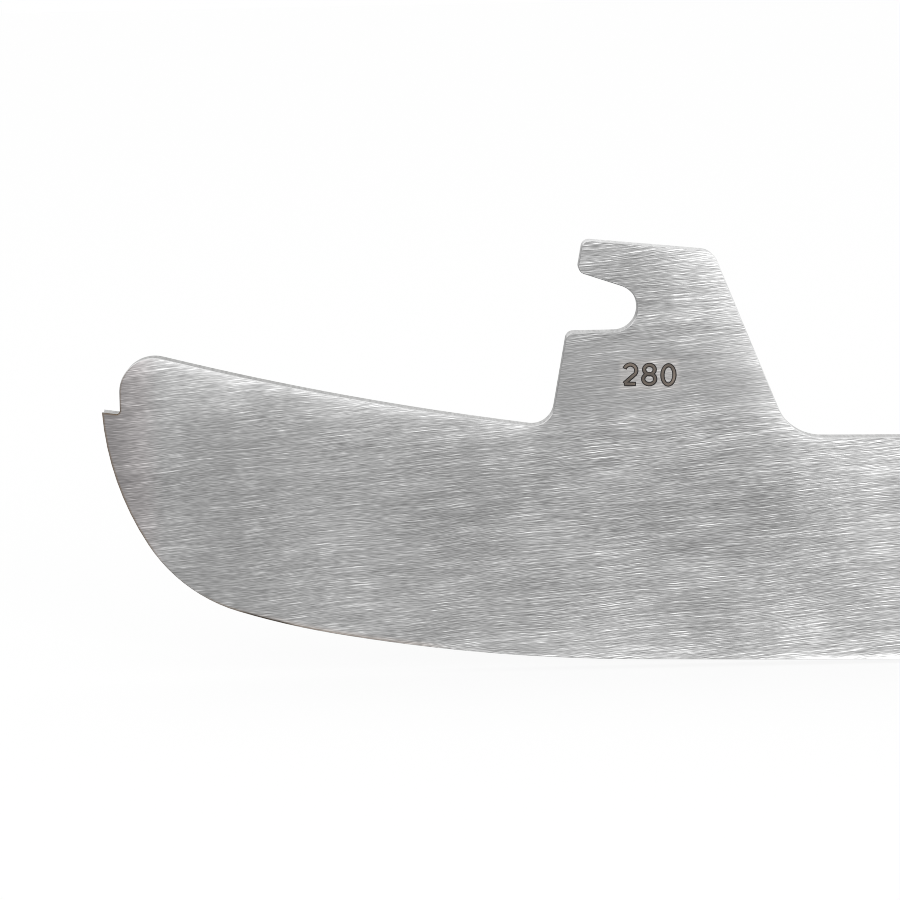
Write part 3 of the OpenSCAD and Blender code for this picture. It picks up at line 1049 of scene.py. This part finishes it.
def ground_edge(finish):
    """Hollow-ground ice edge: bright steel with fine lines along its length."""
    material, tree = new_material("ground_edge")
    lines = grains(tree, place(tree), GROUND_LINES).swing()
    colour = tree.scaled(tuple(finish.bright_steel), lines * GROUND_CONTRAST + GROUND_LEVEL)
    finish_material(tree, GROUND_SURFACE, colour, lines)
    return material


def edge_break(finish):
    """Small bevels along the plate's edges: polished by deburring, with a heat tint at the toe, and in
    painted shade where they turn away from the light.
    """
    material, tree = new_material("edge_break")
    x, y, z = place(tree)
    wear = grains(tree, (x, y, z), BREAK_WEAR).swing()
    colour = tree.scaled(tuple(finish.bright_steel), wear * BREAK_CONTRAST + 1)
    colour = tree.mix(x.fade(BREAK_TINT) * z.fade(BREAK_TINT_Z), colour, (*finish.heat_tint, 1))
    # Painted shade on bevels that turn away from the light
    colour = tree.scaled(colour, 1 - turned_away(tree) * BREAK_SHADE)
    finish_material(tree, BREAK_SURFACE, colour, wear)
    return material


def mark_oxide(finish):
    """Laser oxide in the mark: a burnt rim along each stroke and a paler, grainy core."""
    material, tree = new_material("mark_oxide")
    at = place(tree)
    grain = grains(tree, at, OXIDE_GRAINS).swing()
    patches = grains(tree, at, OXIDE_PATCHES).swing()
    rim = (attribute_value(tree, "rim") + grain * RAGGED_RIM).fade(OXIDE_RIM)
    level = grain * OXIDE_CONTRAST + patches * OXIDE_PATCH_CONTRAST + OXIDE_LEVEL
    core = tree.scaled(tuple(finish.oxide_core), level)
    finish_material(tree, OXIDE_SURFACE, tree.mix(rim, core, (*finish.oxide_rim, 1)), grain)
    return material


def plain(loop):
    """A loop that touches no ice."""
    return [(p, 0) for p in loop]


class RUNNER_OT_blade(bpy.types.Operator):
    """Build the steel blade, with its hollow-ground ice edge and the engraving for the mark"""

    bl_idname = "runner.blade"
    bl_label = "Blade"

    def execute(self, context):
        shape, finish = context.scene.runner_shape, context.scene.runner_finish
        # The longest loop of the CAD face is its outline, drawn finer here. The others are the mark's.
        drawn = sorted(face_loops("runner_blade", FACE_Y), key=len)
        loops = [(blade_outline(), False)] + [(plain(loop), True) for loop in drawn[:-1]]
        sizes = {
            "Thickness": THICKNESS,
            "Middle Y": 0.0,
            "Edge Break": shape.edge_break,
            "Ice Break": shape.ice_break,
            "Margin": shape.margin,
            "Hollow Depth": HOLLOW_RADIUS - math.sqrt(HOLLOW_RADIUS**2 - THICKNESS**2 / 4),
            "Mark Depth": shape.mark_depth,
        }
        finishes = {
            "Face": brushed_steel(finish),
            "Wall": cut_edge(finish),
            "Ground": ground_edge(finish),
            "Break": edge_break(finish),
            "Engraved": mark_oxide(finish),
        }
        blade = make_plate("blade", loops, sizes, finishes)
        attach(blade, "root")
        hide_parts("runner_blade")
        return {"FINISHED"}


class RUNNER_OT_mark(bpy.types.Operator):
    """Build the dark layer on the floor of the engraved size mark"""

    bl_idname = "runner.mark"
    bl_label = "Size mark"

    def execute(self, context):
        shape, finish = context.scene.runner_shape, context.scene.runner_finish
        loops = [(plain(loop), False) for loop in face_loops("size_mark", MARK_LOW.y)]
        oxide = mark_oxide(finish)
        layer = MARK_HIGH.y - MARK_LOW.y
        sizes = {
            "Thickness": layer,
            "Middle Y": (MARK_LOW.y + MARK_HIGH.y) / 2,
            "Edge Break": layer / MARK_BREAK_PARTS,
            "Ice Break": layer / MARK_BREAK_PARTS,
            "Margin": shape.mark_rim,
            "Hollow Depth": 0.0,
            "Mark Depth": 0.0,
        }
        mark = make_plate("mark", loops, sizes, {name: oxide for name in PLATE_FINISHES})
        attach(mark, "root")
        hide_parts("size_mark")
        return {"FINISHED"}


def white_floor(stage):
    """Floor that shows white to the camera and in reflections, and keeps part of the object's shadow."""
    material, tree = new_material("white_floor")
    path = tree.node("ShaderNodeLightPath")
    seen = tree.math("MAXIMUM", tree.out(path, "Is Camera Ray"), tree.out(path, "Is Glossy Ray"))
    seen = tree.math("MAXIMUM", seen, tree.out(path, "Is Transmission Ray"))
    diffuse = tree.node("ShaderNodeBsdfDiffuse", None, {"Color": (*stage.floor, 1)})
    white = tree.node("ShaderNodeEmission", None, {"Color": WHITE, "Strength": 1.0})
    inputs = {0: seen * FLOOR_WHITE, 1: tree.out(diffuse), 2: tree.out(white)}
    blend = tree.node("ShaderNodeMixShader", None, inputs)
    tree.node("ShaderNodeOutputMaterial", None, {"Surface": tree.out(blend)})
    return material


class RUNNER_OT_stage(bpy.types.Operator):
    """Build the floor, the studio light and the camera"""

    bl_idname = "runner.stage"
    bl_label = "Stage"

    def execute(self, context):
        scene, stage = context.scene, context.scene.runner_stage
        scene.view_settings.view_transform = "Standard"
        scene.cycles.filter_width = 1.0
        self.floor(scene, stage)
        self.light(scene, stage)
        self.camera(scene, stage)
        return {"FINISHED"}

    def floor(self, scene, stage):
        corners = [(-1, -1), (1, -1), (1, 1), (-1, 1)]
        mesh = bpy.data.meshes.new("floor")
        mesh.from_pydata([(x * FLOOR_REACH, y * FLOOR_REACH, 0) for x, y in corners], [], [(0, 1, 2, 3)])
        mesh.materials.append(white_floor(stage))
        floor = bpy.data.objects.new("floor", mesh)
        scene.collection.objects.link(floor)

    def light(self, scene, stage):
        world = bpy.data.worlds.new("white_studio")
        world.use_nodes = True
        world.node_tree.nodes.clear()
        tree = Tree(world.node_tree)
        background = tree.node("ShaderNodeBackground", None, {"Color": WHITE, "Strength": 1.0})
        tree.node("ShaderNodeOutputWorld", None, {"Surface": tree.out(background)})
        scene.world = world
        lamp = bpy.data.lights.new("key", "AREA")
        lamp.shape = "DISK"
        lamp.size = KEY_SIZE
        lamp.energy = stage.key_power
        key = bpy.data.objects.new("key", lamp)
        key.location = KEY_PLACE
        key.rotation_euler = (Vector(stage.aim) - key.location).to_track_quat("-Z", "Y").to_euler()
        scene.collection.objects.link(key)

    def camera(self, scene, stage):
        data = bpy.data.cameras.new("camera")
        data.lens = stage.lens
        data.sensor_width = SENSOR_WIDTH
        data.clip_start = CLIP_START
        distance = stage.view_width * stage.lens / SENSOR_WIDTH
        back = Vector((0, -math.cos(stage.elevation), math.sin(stage.elevation)))
        right = Vector((1, 0, 0))
        up = back.cross(right)
        turn = Matrix.Rotation(-stage.roll, 3, back)
        axes = Matrix((turn @ right, turn @ up, back)).transposed()
        camera = bpy.data.objects.new("camera", data)
        camera.matrix_world = Matrix.Translation(Vector(stage.aim) + back * distance) @ axes.to_4x4()
        scene.collection.objects.link(camera)
        scene.camera = camera


class RUNNER_PT_panel(bpy.types.Panel):
    """Sidebar panel with the pieces, their finish and the stage"""

    bl_idname = "RUNNER_PT_panel"
    bl_label = "Skate Runner"
    bl_space_type = "VIEW_3D"
    bl_region_type = "UI"
    bl_category = "Runner"

    def draw(self, context):
        for operator in OPERATORS:
            self.layout.operator(operator.bl_idname)
        for name, group in GROUPS.items():
            box = self.layout.box()
            for key in group.__annotations__:
                box.prop(getattr(context.scene, name), key)


GROUPS = {"runner_shape": RunnerShape, "runner_finish": RunnerFinish, "runner_stage": RunnerStage}
OPERATORS = (RUNNER_OT_blade, RUNNER_OT_mark, RUNNER_OT_stage)
CLASSES = (*GROUPS.values(), *OPERATORS, RUNNER_PT_panel)


def register():
    for cls in CLASSES:
        bpy.utils.register_class(cls)
    for name, group in GROUPS.items():
        setattr(bpy.types.Scene, name, PointerProperty(type=group))


def unregister():
    for name in GROUPS:
        delattr(bpy.types.Scene, name)
    for cls in reversed(CLASSES):
        bpy.utils.unregister_class(cls)


def main():
    register()
    bpy.ops.runner.blade()
    bpy.ops.runner.mark()
    bpy.ops.runner.stage()


if __name__ == "__main__":
    main()
